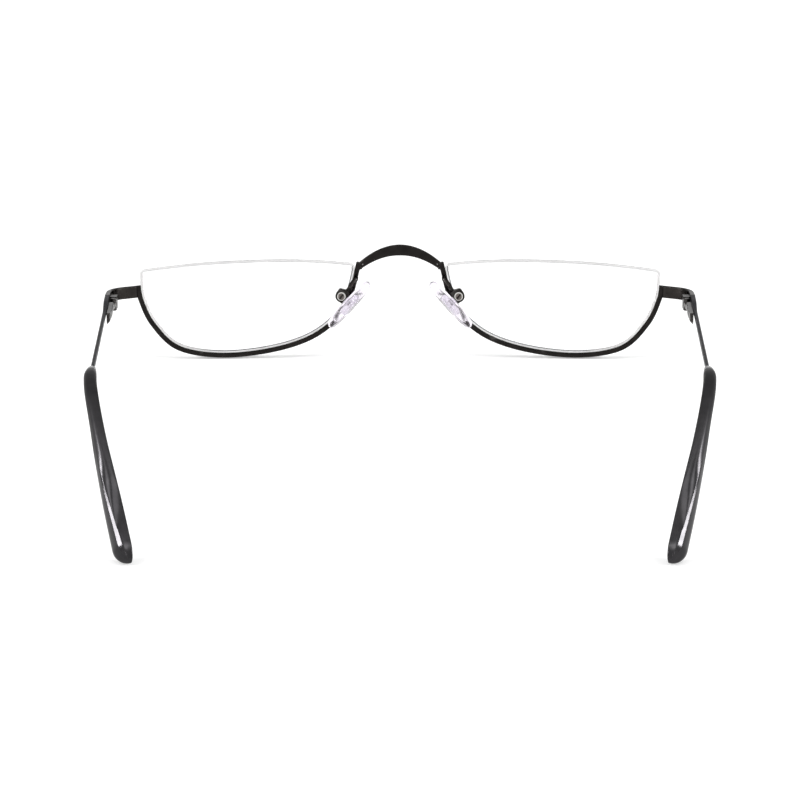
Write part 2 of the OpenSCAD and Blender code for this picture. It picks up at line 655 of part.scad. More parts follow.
// The box is round at its screw, with a flat towards the nose and a seat on top for the pad arm
module box_outline() {
    shoulder_r = 0.5;
    hull() {
        intersection() {
            circle(box_r);
            translate([-nose_side, -box_r]) square(2 * box_r);
        }
        translate([box_r - shoulder_r + 0.1, 0.8]) circle(shoulder_r);
        translate([-nose_side, -1.2]) square([1, 0.5]);
        translate([arm_end_x - pad_wire_d / 2 - 0.05, box_top - 0.4]) square([pad_wire_d + 0.1, 0.4]);
    }
}
module pad_box() {
    web_from = 1;
    color(METAL) at_pad_screw() difference() {
        slab(2 * box_half) box_outline();
        translate([-4, -pad_slot / 2, -4]) cube([4 + web_from, pad_slot, 4 + web_from + 0.05]);
        rotate([90, 0, 0]) cylinder(h = 6, d = pad_screw_d + 2 * pin_clearance, center = true);
    }
}
pad_head_d = 2;
module pad_screw() {
    color(STEEL) at_pad_screw() translate([0, box_half, 0]) rotate([-90, 0, 0])
        slotted_screw(pad_screw_d, 2 * box_half - 0.1, pad_head_d, 0.5);
}
// Pad arm: a bent round wire from the rear of the rim to the top of the pad box
function pad_frame(p) = [
    pad_screw_x + p.x * cos(pad_lean) - p.z * sin(pad_lean), pad_screw_y + p.y,
    pad_screw_z + p.x * sin(pad_lean) + p.z * cos(pad_lean)];
foot = rim_edge[len(rim_edge) - 3] + away(rim_edge, len(rim_edge) - 3) * (rim_seat + rim_w / 2);
foot_y = sag(foot) + rim_depth / 2;
WIRE_SIDES = 10;
// Sideways place of the arm's end on the pad box
arm_end_x = -0.35;
module pad_arm() {
    touch = 0.01;
    start = [foot.x, foot_y + touch, foot.y];
    finish = pad_frame([arm_end_x, 0, box_top + touch]);
    path = spline([start, start + [0.02, 1.2, -0.03], start + [0.12, 2.6, -0.42],
        pad_frame([arm_end_x + 0.3, -0.4, box_top + 1.6]),
        pad_frame([arm_end_x + 0.06, -0.04, box_top + 0.75]),
        finish], 4);
    n = len(path);
    fixed = [1, 0, 0];
    rings = [for (i = [0 : n - 1])
        let (d = i == 0 ? [lens_mid_x - foot.x, mean_r, lens_mid_z - foot.y]
                : i == n - 1 ? finish - pad_frame([arm_end_x, 0, box_top + 1])
                : path[i + 1] - path[i - 1],
            way = d / norm(d),
            side = fixed - way * (way * fixed),
            out = side / norm(side),
            up = cross(way, out))
        [for (k = [0 : WIRE_SIDES - 1]) path[i]
            + (out * cos(k * 360 / WIRE_SIDES) - up * sin(k * 360 / WIRE_SIDES)) * pad_wire_d / 2]];
    color(METAL) on_front() skin(rings);
}

// Stance: the tilt that brings the rims and the arm tips onto one level
function armed(p) = [hinge_x + p.x * cos(toe_in) - p.y * sin(toe_in),
    hinge_y + p.x * sin(toe_in) + p.y * cos(toe_in), hinge_z + p.z];
rim_low_points = [for (ring = front_rings(rim_path, [[rim_seat + rim_w, 0.22 - rim_depth / 2],
    [rim_seat + rim_w - 0.22, -rim_depth / 2]]), p = ring) leaned(p)];
tip_points = [for (ring = sleeve_rings, p = ring) armed(p)];
function level(points, tilt) = min([for (p = points) p.y * sin(tilt) + p.z * cos(tilt)]);
function level_tilt(tilt, tries) = tries == 0 ? tilt
    : level_tilt(tilt + atan((level(rim_low_points, tilt) - level(tip_points, tilt)) / arm_len),
        tries - 1);
stand_tilt = level_tilt(6, 8);
stand_z = -level(rim_low_points, stand_tilt);
function stood_y(points) = [for (p = points) p.y * cos(stand_tilt) - p.z * sin(stand_tilt)];
bridge_front = leaned([0, sag([lens_x, lens_top]) - bridge_bow - bridge_depth / 2,
    bridge_top - 0.3]);
lens_front = leaned([lens_mid_x, sag([lens_mid_x, lens_top]) - lens_middle / 2,
    lens_top]);
front_y = min(stood_y([bridge_front, lens_front]));
rear_y = max(stood_y(tip_points));
stand_y = -(front_y + rear_y) / 2;
module stand() {
    translate([0, stand_y, stand_z]) rotate([stand_tilt, 0, 0]) children();
}
function stood(p) = [p.x, p.y * cos(stand_tilt) - p.z * sin(stand_tilt) + stand_y,
    p.y * sin(stand_tilt) + p.z * cos(stand_tilt) + stand_z];
// Joint places and directions on the left, in the standing frame
echo(stand_tilt_deg = stand_tilt, stand_y_mm = stand_y, stand_z_mm = stand_z);
echo(pin_at_mm = stood([hinge_x, hinge_y, hinge_z]), pin_axis = [0, -sin(stand_tilt), cos(stand_tilt)]);
echo(slide_axis = stood(armed([0, 1, 0])) - stood(armed([0, 0, 0])));
echo(pad_screw_at_mm = stood(leaned([pad_screw_x, pad_screw_y, pad_screw_z])),
    pad_axis = stood(leaned([0, 1, 0])) - stood(leaned([0, 0, 0])));

stand() bridge();
hand_left() rim();  // rim_left
hand_right() rim();  // rim_right
hand_left() rim_liner();  // rim_liner_left
hand_right() rim_liner();  // rim_liner_right
hand_left() lens();  // lens_left
hand_right() lens();  // lens_right
hand_left() lens_cord();  // lens_cord_left
hand_right() lens_cord();  // lens_cord_right
hand_left() pad_arm();  // pad_arm_left
hand_right() pad_arm();  // pad_arm_right
hand_left() pad_box();  // pad_box_left
hand_right() pad_box();  // pad_box_right
hand_left() pad_screw();  // pad_screw_left
hand_right() pad_screw();  // pad_screw_right
hand_left() nose_pad();  // nose_pad_left
hand_right() nose_pad();  // nose_pad_right
hand_left() pad_core();  // pad_core_left
hand_right() pad_core();  // pad_core_right
hand_left() endpiece();  // endpiece_left
hand_right() endpiece();  // endpiece_right
hand_left() hinge_leaf();  // hinge_leaf_left
hand_right() hinge_leaf();  // hinge_leaf_right
hand_left() hinge_screw();  // hinge_screw_left
hand_right() hinge_screw();  // hinge_screw_right
hand_left() hinge_slider();  // hinge_slider_left
hand_right() hinge_slider();  // hinge_slider_right
hand_left() hinge_bush();  // hinge_bush_left
hand_right() hinge_bush();  // hinge_bush_right
hand_left() hinge_spring();  // hinge_spring_left
hand_right() hinge_spring();  // hinge_spring_right
hand_left() hinge_housing();  // hinge_housing_left
hand_right() hinge_housing();  // hinge_housing_right
hand_left() temple();  // temple_left
hand_right() temple();  // temple_right
hand_left() temple_tip();  // temple_tip_left
hand_right() temple_tip();  // temple_tip_right
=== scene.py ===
# Half-moon reading glasses: the looks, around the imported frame
import math

import bmesh
import bpy
import numpy as np
from mathutils import Matrix, Vector


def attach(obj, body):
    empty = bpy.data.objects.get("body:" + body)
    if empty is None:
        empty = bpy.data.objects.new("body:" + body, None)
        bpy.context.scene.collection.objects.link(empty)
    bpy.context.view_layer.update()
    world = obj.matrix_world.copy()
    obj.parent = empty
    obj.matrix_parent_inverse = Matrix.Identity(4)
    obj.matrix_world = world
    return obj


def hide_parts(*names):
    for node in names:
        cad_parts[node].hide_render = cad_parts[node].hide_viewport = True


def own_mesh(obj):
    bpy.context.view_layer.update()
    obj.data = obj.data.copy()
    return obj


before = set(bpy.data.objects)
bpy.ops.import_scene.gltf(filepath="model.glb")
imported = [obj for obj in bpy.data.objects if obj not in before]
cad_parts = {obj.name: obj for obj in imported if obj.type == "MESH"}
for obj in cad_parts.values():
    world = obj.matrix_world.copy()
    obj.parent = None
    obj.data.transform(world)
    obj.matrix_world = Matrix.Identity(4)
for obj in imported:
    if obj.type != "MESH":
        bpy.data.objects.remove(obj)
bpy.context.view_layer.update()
MM = 0.001

# Sizes in millimetres, as in the part's source. Everything is drawn as worn, then stood on the floor
LENS_W, LENS_H, LENS_GAP, LENS_MIDDLE = 51.2, 22.3, 21.0, 2.6
LENS_FRONT_R, LENS_REAR_R = 105.0, 170.0
GROOVE_DEPTH, GROOVE_W, CORD_D = 0.56, 0.6, 0.54
RIM_W, RIM_DEPTH, RIM_SEAT, CHANNEL, RIM_HORN = 1.0, 2.0, 0.05, 0.34, 2.3
FACE_LEAN = 7.0
BRIDGE_RISE, BRIDGE_DROP, BRIDGE_H, BRIDGE_END_H = 3.65, 4.1, 2.6, 1.4
BRIDGE_DEPTH, BRIDGE_BOW, BRIDGE_SHAPE, BRIDGE_TAPER = 1.3, 1.0, 2.0, 1.5
STRAP_BELOW, STRAP_H, STRAP_T, STRAP_ANGLE, STRAP_BEND_R = 5.85, 2.8, 1.1, 30.0, 6.5
REACH, HINGE_BACK, HINGE_OFFSET, HINGE_DROP = 7.4, 3.8, 0.87, 0.95
HOUSING_START, HOUSING_LEN = 3.8, 13.2
ARM_LEN, ARM_T, ARM_H, TOE_IN = 135.0, 0.75, 1.3, 2.45
BEND_AT, EAR_DROP, EAR_BEND_R = 97.0, 47.0, 28.0
TIP_TURN, TIP_TWIST, INWARD_FROM, INWARD_SHARE = 11.55, 26.0, 77.0, 0.586
SLEEVE_LEN, MOUTH_T, END_T, MOUTH_H, END_H, END_SHIFT = 60.5, 2.4, 2.8, 3.5, 5.3, 0.42
PAD_LEN, PAD_W, PAD_T, PAD_LEAN, PAD_SPLAY = 14.2, 7.4, 2.3, 42.0, 12.0
PAD_X, PAD_Y, PAD_BELOW, PAD_STANDOFF, PAD_LOWER, PAD_WIRE = 13.8, 7.7, 8.15, 2.7, 0.3, 1.2
BOX_TOP, ARM_END_X = 1.75, -0.35
STAND_TILT, STAND_Y, STAND_Z = 5.66754, -65.1485, 0.00993334

LENS_X = LENS_GAP / 2
LENS_LOW = RIM_W + RIM_SEAT
LENS_TOP = LENS_LOW + LENS_H
MID = np.array([LENS_X + LENS_W / 2, LENS_LOW + LENS_H / 2])
MEAN_R = 2 / (1 / LENS_FRONT_R + 1 / LENS_REAR_R)
STRAP_TOP = LENS_TOP - STRAP_BELOW
BRIDGE_TOP = LENS_TOP + BRIDGE_RISE
PAD_Z = LENS_TOP - PAD_BELOW
RIM_SHARES = [
    (0.986, 0.580), (0.934, 0.329), (0.821, 0.080), (0.625, 0), (0.391, 0.056),
    (0.203, 0.202), (0.074, 0.444), (0.028, 0.668), (0.004, 0.885),
]
TOP_SHARES = [(0.035, 0.972), (0.17, 0.993), (0.38, 1), (0.70, 0.969), (0.965, 0.906)]
CORNER_SHARES = [(0, 0.97), (1, 0.895)]
SIDE_SHARE = (0.9995, 0.85)


def rad(a):
    return math.radians(a)


def unit(v):
    v = np.asarray(v, float)
    return v / np.linalg.norm(v)


# --- Curves of the front, as in the source but with finer steps
def on_lens(share):
    return np.array([LENS_X + LENS_W * share[0], LENS_LOW + LENS_H * share[1]])


def spline(points, steps):
    p = [np.asarray(q, float) for q in points]
    out = []
    for i in range(len(p) - 1):
        a, b, c, d = p[max(i - 1, 0)], p[i], p[i + 1], p[min(i + 2, len(p) - 1)]
        for k in range(steps):
            t = k / steps
            out.append((2 * b + (c - a) * t + (2 * a - 5 * b + 4 * c - d) * t * t
                        + (3 * b - a - 3 * c + d) * t ** 3) / 2)
    out.append(p[-1])
    return np.array(out)


def corner(a, b, c, steps):
    return [a * (1 - t) ** 2 + b * 2 * t * (1 - t) + c * t * t
            for t in (k / steps for k in range(1, steps))]


def away(p, closed=False):
    """Unit normals to the left of a path, away from the lens."""
    p = np.asarray(p)
    d = np.roll(p, -1, 0) - np.roll(p, 1, 0)
    if not closed:
        d[0], d[-1] = p[1] - p[0], p[-1] - p[-2]
    d = d / np.linalg.norm(d, axis=1)[:, None]
    return np.stack([-d[:, 1], d[:, 0]], 1)


def sag(p, r=MEAN_R):
    """How far rearward a spherical surface lies at a place on the front."""
    p = np.asarray(p)
    return r - np.sqrt(r * r - (p[..., 0] - MID[0]) ** 2 - (p[..., 1] - MID[1]) ** 2)


RIM_END_SHARE, BELOW_STRAP_TOP, FINE = 0.998, 0.25, 14
RIM_END = np.array([LENS_X + LENS_W * RIM_END_SHARE,
                    STRAP_TOP / math.cos(rad(FACE_LEAN)) - BELOW_STRAP_TOP])
rim_edge = spline([RIM_END] + [on_lens(s) for s in RIM_SHARES], FINE)
rim_way = unit(rim_edge[-1] - rim_edge[-2])
rim_path = np.concatenate([rim_edge, [rim_edge[-1] + rim_way * RIM_HORN * k / 4 for k in (1, 2, 3, 4)]])
bare_edge = np.array(
    [rim_edge[-1]]
    + corner(rim_edge[-1], on_lens(CORNER_SHARES[0]), on_lens(TOP_SHARES[0]), 8)
    + list(spline([on_lens(s) for s in TOP_SHARES], 12))
    + corner(on_lens(TOP_SHARES[4]), on_lens(CORNER_SHARES[1]), on_lens(SIDE_SHARE), 8)
    + [on_lens(SIDE_SHARE), RIM_END]
)
outline = np.concatenate([rim_edge, bare_edge[1:-1]])


def front_rings(path, section):
    """Rings of a section [outward, rearward] swept along a path on the lens's middle surface."""
    n = away(path)
    rings = []
    for p, q in zip(path, n):
        row = []
        for s in section:
            e = p + q * s[0]
            row.append([e[0], sag(e) + s[1], e[1]])
        rings.append(row)
    return np.array(rings)


# --- Frames: front, arm and pad
def rot(p, axis, angle):
    return np.asarray(p, float) @ np.array(Matrix.Rotation(rad(angle), 3, axis)).T


def on_front(p):
    return rot(p, "X", FACE_LEAN)


def stand(p):
    return rot(p, "X", STAND_TILT) + [0, STAND_Y, STAND_Z]


HALF_WIDTH = LENS_X + LENS_W + REACH
RIM_OUTER_X = RIM_END[0] + RIM_SEAT + RIM_W
STRAP_CORNER = np.array([
    HALF_WIDTH - STRAP_BEND_R,
    on_front([RIM_END[0], sag(RIM_END), RIM_END[1]])[1]
    + (HALF_WIDTH - STRAP_BEND_R * (1 - math.sin(rad(STRAP_ANGLE))) - RIM_OUTER_X)
    * math.tan(rad(STRAP_ANGLE)) + STRAP_BEND_R * math.cos(rad(STRAP_ANGLE)),
])
HINGE = np.array([HALF_WIDTH - STRAP_T - HINGE_OFFSET, STRAP_CORNER[1] + HINGE_BACK,
                  STRAP_TOP - STRAP_H / 2 - HINGE_DROP])


def on_arm(p):
    return rot(p, "Z", TOE_IN) + HINGE


def from_pad_screw(p):
    return rot(p, "Y", -PAD_LEAN) + [PAD_X, PAD_Y, PAD_Z]


def in_pad(p):
    return on_front(from_pad_screw(rot(p, "Z", -PAD_SPLAY) + [-PAD_STANDOFF, 0, -PAD_LOWER]))


# --- Meshes
def loft(rings):
    """Vertices and faces of a skin over rings of points, closed by a face at each end."""
    rings = np.asarray(rings, float)
    n, m = rings.shape[:2]
    faces = []
    for a, b in ((i * m, (i + 1) * m) for i in range(n - 1)):
        faces += [[a + j, a + (j + 1) % m, b + (j + 1) % m, b + j] for j in range(m)]
    faces += [list(range(m - 1, -1, -1)), list(range((n - 1) * m, n * m))]
    return rings.reshape(-1, 3), faces


def piece(name, verts, faces, hand, body, slot, mat, nodes=(), sharp=40):
    """A mesh given as worn, in millimetres, on the wearer's left, placed in the row frame."""
    v = stand(verts) * MM
    if hand == "right":
        v = v * [-1, 1, 1]
    me = bpy.data.meshes.new(name)
    me.from_pydata([tuple(p) for p in v], [], [tuple(f) for f in faces])
    bm = bmesh.new()
    bm.from_mesh(me)
    bmesh.ops.remove_doubles(bm, verts=bm.verts, dist=1e-7)
    bmesh.ops.recalc_face_normals(bm, faces=bm.faces)
    bm.to_mesh(me)
    bm.free()
    return dressed(name, me, body, mat, nodes, sharp)


def dressed(name, me, body, mat, nodes, sharp, bevel=0.0):
    """An object of that mesh on its CAD body, with its finish. A bevel width gives it rounded edges."""
    for m in mat if isinstance(mat, (list, tuple)) else [mat]:
        me.materials.append(m)
    for p in me.polygons:
        p.use_smooth = True
    me.set_sharp_from_angle(angle=rad(sharp))
    o = bpy.data.objects.new(name, me)
    bpy.context.scene.collection.objects.link(o)
    if bevel:
        b = o.modifiers.new("edge", "BEVEL")
        b.width, b.segments, b.limit_method, b.angle_limit = bevel * MM, 3, "ANGLE", rad(34)
        b.use_clamp_overlap, b.miter_outer = True, "MITER_ARC"
        b.harden_normals = True
    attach(o, body)
    if nodes:
        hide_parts(*nodes)
    return o


def from_node(name, node, body, mat, bevel=0.06, sharp=34):
    """A piece with the shape of a CAD node and rounded edges."""
    me = bpy.data.meshes.new(name)
    bm = bmesh.new()
    bm.from_mesh(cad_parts[node].data)
    bmesh.ops.remove_doubles(bm, verts=bm.verts, dist=2e-6)
    bmesh.ops.dissolve_limit(bm, angle_limit=rad(1.5), verts=bm.verts, edges=bm.edges)
    bmesh.ops.recalc_face_normals(bm, faces=bm.faces)
    bm.to_mesh(me)
    bm.free()
    return dressed(name, me, body, mat, [node], sharp, bevel)


def rounded_rect(half_a, half_b, r, k=5):
    """Points of a rounded rectangle, counter-clockwise."""
    out = []
    for sa, sb, start in ((1, 1, 0), (-1, 1, 90), (-1, -1, 180), (1, -1, 270)):
        for i in range(k + 1):
            a = rad(start + 90 * i / k)
            out.append((sa * (half_a - r) + r * math.cos(a), sb * (half_b - r) + r * math.sin(a)))
    return out


def swept(path, side, section):
    """Rings across a path in space: side is the direction of a section's first number."""
    path, side = np.asarray(path, float), np.asarray(side, float)
    way = np.gradient(path, axis=0)
    rings = []
    for p, w, s in zip(path, way, side):
        w = unit(w)
        a = unit(s - w * np.dot(w, s))
        b = np.cross(w, a)
        rings.append([p + a * x + b * y for x, y in section])
    return np.array(rings)


# --- Materials. Noise scales are per metre
METAL_TONE, METAL_ROUGH, METAL_BUMP = 420, 900, 0.35
CLEAR_TONE, CLEAR_ROUGH, CLEAR_GRAIN, CLEAR_BUMP = 260, 700, 2500, 0.2
WORN_FROM, WORN_FULL = 0.53, 0.62
# Screw heads, as shares of the head's width: the darker face's edge, and the half width and half length of the
# slot painted as shade
FACE_EDGE, SLOT_SIDE, SLOT_END = (0.40, 0.36), (0.12, 0.08), (0.37, 0.33)


def tree(name):
    m = bpy.data.materials.new(name)
    m.use_nodes = True
    return m, m.node_tree, m.node_tree.nodes["Principled BSDF"]


def set_sockets(p, **values):
    for k, v in values.items():
        p.inputs[k.replace("_", " ")].default_value = v


def noise(nt, scale, detail):
    c = nt.nodes.new("ShaderNodeTexCoord")
    n = nt.nodes.new("ShaderNodeTexNoise")
    for k, v in (("Scale", scale), ("Detail", detail), ("Roughness", 0.55)):
        n.inputs[k].default_value = v
    nt.links.new(c.outputs["Object"], n.inputs["Vector"])
    return n.outputs["Fac"]


def ramp(nt, fac, stops):
    r = nt.nodes.new("ShaderNodeValToRGB")
    while len(r.color_ramp.elements) < len(stops):
        r.color_ramp.elements.new(0.5)
    for e, (pos, col) in zip(r.color_ramp.elements, stops):
        e.position, e.color = pos, (*col, 1)
    nt.links.new(fac, r.inputs["Fac"])
    return r.outputs["Color"]


def spread(nt, fac, lo, hi, from_lo=0.3, from_hi=0.7):
    r = nt.nodes.new("ShaderNodeMapRange")
    for k, v in (("From Min", from_lo), ("From Max", from_hi), ("To Min", lo), ("To Max", hi)):
        r.inputs[k].default_value = v
    nt.links.new(fac, r.inputs["Value"])
    return r.outputs["Result"]


def bump(nt, p, fac, strength, distance):
    b = nt.nodes.new("ShaderNodeBump")
    b.inputs["Strength"].default_value = strength
    b.inputs["Distance"].default_value = distance
    nt.links.new(fac, b.inputs["Height"])
    nt.links.new(b.outputs["Normal"], p.inputs["Normal"])


def mixed(nt, fac, a, colour):
    """Colour a, turning into a plain colour as fac goes from 0 to 1."""
    mix = nt.nodes.new("ShaderNodeMix")
    mix.data_type = "RGBA"
    mix.inputs["B"].default_value = (*colour, 1)
    nt.links.new(fac, mix.inputs["Factor"])
    nt.links.new(a, mix.inputs["A"])
    return mix.outputs["Result"]


def maths(nt, operation, a, b=None, clamp=False):
    """A Math node. Each input is a socket, or a number for the second."""
    n = nt.nodes.new("ShaderNodeMath")
    n.operation, n.use_clamp = operation, clamp
    nt.links.new(a, n.inputs[0])
    if isinstance(b, float):
        n.inputs[1].default_value = b
    elif b is not None:
        nt.links.new(b, n.inputs[1])
    return n.outputs[0]


def along(nt, coordinates, axis):
    """One axis of a texture coordinate."""
    place = nt.nodes.new("ShaderNodeSeparateXYZ")
    nt.links.new(nt.nodes.new("ShaderNodeTexCoord").outputs[coordinates], place.inputs["Vector"])
    return place.outputs[axis]


def metal(name, dark, light, metallic, rough, grain=5200.0, dent=4e-6, worn=None, edge_tint=1.0):
    """A metal of uneven tone and roughness. edge_tint is its brightness at grazing angles."""
    m, nt, p = tree(name)
    tone = ramp(nt, noise(nt, METAL_TONE, 4), [(0.3, dark), (0.72, light)])
    if worn:
        g = nt.nodes.new("ShaderNodeNewGeometry")
        tone = mixed(nt, spread(nt, g.outputs["Pointiness"], 0, 1, WORN_FROM, WORN_FULL), tone, worn)
    nt.links.new(tone, p.inputs["Base Color"])
    set_sockets(p, Metallic=metallic, Specular_Tint=(*[edge_tint] * 3, 1))
    nt.links.new(spread(nt, noise(nt, METAL_ROUGH, 5), *rough), p.inputs["Roughness"])
    bump(nt, p, noise(nt, grain, 2), METAL_BUMP, dent)
    return m


def lets_light_through(nt, share):
    """Clear pieces cast almost no shadow: lamps and skylight reach the floor through them."""
    out = nt.nodes["Material Output"]
    shader = out.inputs["Surface"].links[0].from_socket
    path = nt.nodes.new("ShaderNodeLightPath")
    t = nt.nodes.new("ShaderNodeBsdfTransparent")
    t.inputs["Color"].default_value = (1, 1, 1, 1)
    mix = nt.nodes.new("ShaderNodeMixShader")
    nt.links.new(maths(nt, "MULTIPLY", path.outputs["Is Shadow Ray"], share), mix.inputs["Fac"])
    nt.links.new(shader, mix.inputs[1])
    nt.links.new(t.outputs["BSDF"], mix.inputs[2])
    nt.links.new(mix.outputs["Shader"], out.inputs["Surface"])


def clear(name, dark, light, rough, ior, dent=2e-6, shadow=1.0):
    """A clear material. shadow is the share of light that it lets through to the floor."""
    m, nt, p = tree(name)
    nt.links.new(ramp(nt, noise(nt, CLEAR_TONE, 3), [(0.3, dark), (0.7, light)]), p.inputs["Base Color"])
    set_sockets(p, Transmission_Weight=1.0, IOR=ior)
    nt.links.new(spread(nt, noise(nt, CLEAR_ROUGH, 4), *rough), p.inputs["Roughness"])
    bump(nt, p, noise(nt, CLEAR_GRAIN, 2), CLEAR_BUMP, dent)
    lets_light_through(nt, shadow)
    return m


def sheen_painted_by_length(material, stops):
    """Paints how bright a piece's reflections are at grazing angles, as stops along its length from front to
    rear: painted sheen, not a change of the surface.
    """
    nt = material.node_tree
    tint = ramp(nt, along(nt, "Generated", "Y"), [(at, (v, v, v)) for at, v in stops])
    nt.links.new(tint, nt.nodes["Principled BSDF"].inputs["Specular Tint"])


def rougher_by_length(material, stops):
    """Adds roughness, as stops along the length from front to rear."""
    nt = material.node_tree
    rough = nt.nodes["Principled BSDF"].inputs["Roughness"]
    more = ramp(nt, along(nt, "Generated", "Y"), [(at, (v, v, v)) for at, v in stops])
    nt.links.new(maths(nt, "ADD", rough.links[0].from_socket, more), rough)


def paler_outward(material, colour, start, end):
    """The base colour turns into another between two distances, in metres, from the middle of the front."""
    nt = material.node_tree
    base = nt.nodes["Principled BSDF"].inputs["Base Color"]
    outward = maths(nt, "ABSOLUTE", along(nt, "Object", "X"))
    nt.links.new(mixed(nt, spread(nt, outward, 0, 1, start, end), base.links[0].from_socket, colour), base)


def slotted(material, turn):
    """Paints a screw head: a bright rim round a darker face, and a dark slot of painted shade, turned by that
    angle.
    """
    nt = material.node_tree
    place = nt.nodes.new("ShaderNodeMapping")
    place.vector_type = "TEXTURE"
    place.inputs["Location"].default_value = (0.5, 0.5, 0.5)
    place.inputs["Rotation"].default_value = (0, rad(turn), 0)
    nt.links.new(nt.nodes.new("ShaderNodeTexCoord").outputs["Generated"], place.inputs["Vector"])
    part = nt.nodes.new("ShaderNodeSeparateXYZ")
    nt.links.new(place.outputs["Vector"], part.inputs["Vector"])
    flat_place = nt.nodes.new("ShaderNodeCombineXYZ")
    nt.links.new(part.outputs["X"], flat_place.inputs["X"])
    nt.links.new(part.outputs["Z"], flat_place.inputs["Z"])
    out_by = nt.nodes.new("ShaderNodeVectorMath")
    out_by.operation = "LENGTH"
    nt.links.new(flat_place.outputs["Vector"], out_by.inputs[0])
    base = nt.nodes["Principled BSDF"].inputs["Base Color"]
    face = spread(nt, out_by.outputs["Value"], 0, 1, *FACE_EDGE)
    tone = mixed(nt, face, base.links[0].from_socket, (0.16, 0.14, 0.13))
    # The slot is painted shade: a near-black stripe across the head, where its recess lies in shade
    groove = maths(nt, "MULTIPLY", spread(nt, maths(nt, "ABSOLUTE", part.outputs["Z"]), 0, 1, *SLOT_SIDE),
                   spread(nt, out_by.outputs["Value"], 0, 1, *SLOT_END))
    nt.links.new(mixed(nt, groove, tone, (0.02, 0.018, 0.017)), base)


GUNMETAL = metal("gunmetal", (0.016, 0.0145, 0.014), (0.026, 0.0235, 0.022), 1.0, (0.24, 0.36),
                 worn=(0.06, 0.056, 0.054), edge_tint=0.3)
# Painted sheen: the arms, the hinge parts and the endpiece strap get lighter or more reflective copies of the
# frame's one gunmetal paint
ARM_METAL_SHEEN = metal("arm_gunmetal", (0.030, 0.030, 0.034), (0.045, 0.045, 0.050), 1.0, (0.26, 0.38),
                  worn=(0.07, 0.07, 0.075), edge_tint=0.46)
HINGE_METAL_SHEEN = metal("hinge_gunmetal_painted_sheen", (0.030, 0.028, 0.027), (0.045, 0.042, 0.040), 1.0, (0.24, 0.36),
                    worn=(0.12, 0.115, 0.11), edge_tint=0.88)
STRAP_METAL_SHEEN = metal("strap_gunmetal_painted_sheen", (0.020, 0.018, 0.017), (0.034, 0.031, 0.029), 1.0, (0.24, 0.36),
                    worn=(0.08, 0.077, 0.074))
STEEL = metal("steel", (0.50, 0.49, 0.47), (0.66, 0.65, 0.63), 1.0, (0.18, 0.32), grain=9000.0)
DARK_STEEL = metal("dark_steel", (0.05, 0.048, 0.047), (0.09, 0.087, 0.085), 0.9, (0.25, 0.4))
TIP = metal("tip_black", (0.030, 0.0293, 0.031), (0.040, 0.0385, 0.0405), 1.0, (0.17, 0.22),
            grain=1400.0, dent=0.15e-6)
rougher_by_length(TIP, [(0.1, 0), (0.2, 0.24), (0.62, 0.24), (0.73, 0)])
# Painted sheen on the tips: brighter reflections at the mouth and the rear end, dimmer between
sheen_painted_by_length(TIP, [(0.05, 1), (0.11, 0.47), (0.45, 0.47), (0.72, 0.84)])
# Painted sheen on the endpiece strap: dim reflections at grazing angles at its front, bright towards the hinge
sheen_painted_by_length(STRAP_METAL_SHEEN, [(0.35, 0.3), (0.55, 0.88)])
LENS = clear("lens_clear", (0.985, 0.99, 0.99), (1.0, 1.0, 1.0), (0.0, 0.006), 1.5, dent=2e-7)
LENS_EDGE = clear("lens_ground_edge", (0.885, 0.882, 0.88), (0.918, 0.916, 0.913), (0.35, 0.5), 1.4)
# Painted shade: a dark, nearly opaque band on the clear lens just inside the rim, where the bevel looks grey
BEVEL_SHADE_LINE = clear("lens_bevel_painted_shade", (0.03, 0.03, 0.035), (0.07, 0.07, 0.075), (0.2, 0.35), 1.2)
NYLON = clear("nylon", (0.806, 0.802, 0.80), (0.885, 0.883, 0.88), (0.10, 0.2), 1.5)
PAD = clear("pad_clear", (0.83, 0.785, 0.865), (0.88, 0.84, 0.90), (0.12, 0.2), 1.2, shadow=0.8)
PAD_CORE = clear("pad_core", (0.79, 0.765, 0.83), (0.87, 0.85, 0.885), (0.15, 0.3), 1.25, shadow=0.7)
# Steel of the hinge's slider, also given to two small braze beads as painted glints
MID_STEEL_AND_GLINT = metal("mid_steel_and_painted_glint", (0.16, 0.155, 0.15), (0.24, 0.235, 0.23), 1.0, (0.3, 0.45))
HEAD = metal("screw_head", (0.55, 0.54, 0.52), (0.7, 0.69, 0.67), 1.0, (0.2, 0.32), grain=9000.0)
slotted(HEAD, turn=52.0)
# The painted shade band turns pale towards the outer ends of the lens
paler_outward(BEVEL_SHADE_LINE, (0.80, 0.76, 0.77), 0.045, 0.056)


# --- The front: rims, lenses, cord and liner
def front_loft(rings):
    """A skin over rings drawn before the face lean."""
    rings = np.asarray(rings)
    return loft(on_front(rings.reshape(-1, 3)).reshape(rings.shape))


def circle(radius, step, middle=0.0):
    return [(middle + radius * math.cos(rad(a)), radius * math.sin(rad(a))) for a in range(0, 360, step)]


def rim_section():
    """[outward, rearward]: a rounded wire with the liner's channel, its rear lip over the lens's bevel."""
    inner, outer, half, slot = RIM_SEAT, RIM_SEAT + RIM_W, RIM_DEPTH / 2, GROOVE_W / 2
    r, round_r, lip, over, steps = 0.16, 0.36, 0.05, 0.2, 6
    pts = [(inner, slot + lip), (inner + lip, slot), (inner + CHANNEL, slot), (inner + CHANNEL, -slot),
           (inner + lip, -slot), (inner, -slot - lip)]
    for cx, cy, start, q in (
            (inner + r, r - half, 180, r), (outer - round_r, round_r - half, 270, round_r),
            (outer - round_r, half - round_r, 0, round_r), (inner - over + r, half - r, 90, r)):
        turns = [rad(start + 90 * k / steps) for k in range(steps + 1)]
        pts += [(cx + q * math.cos(a), cy + q * math.sin(a)) for a in turns]
    return pts


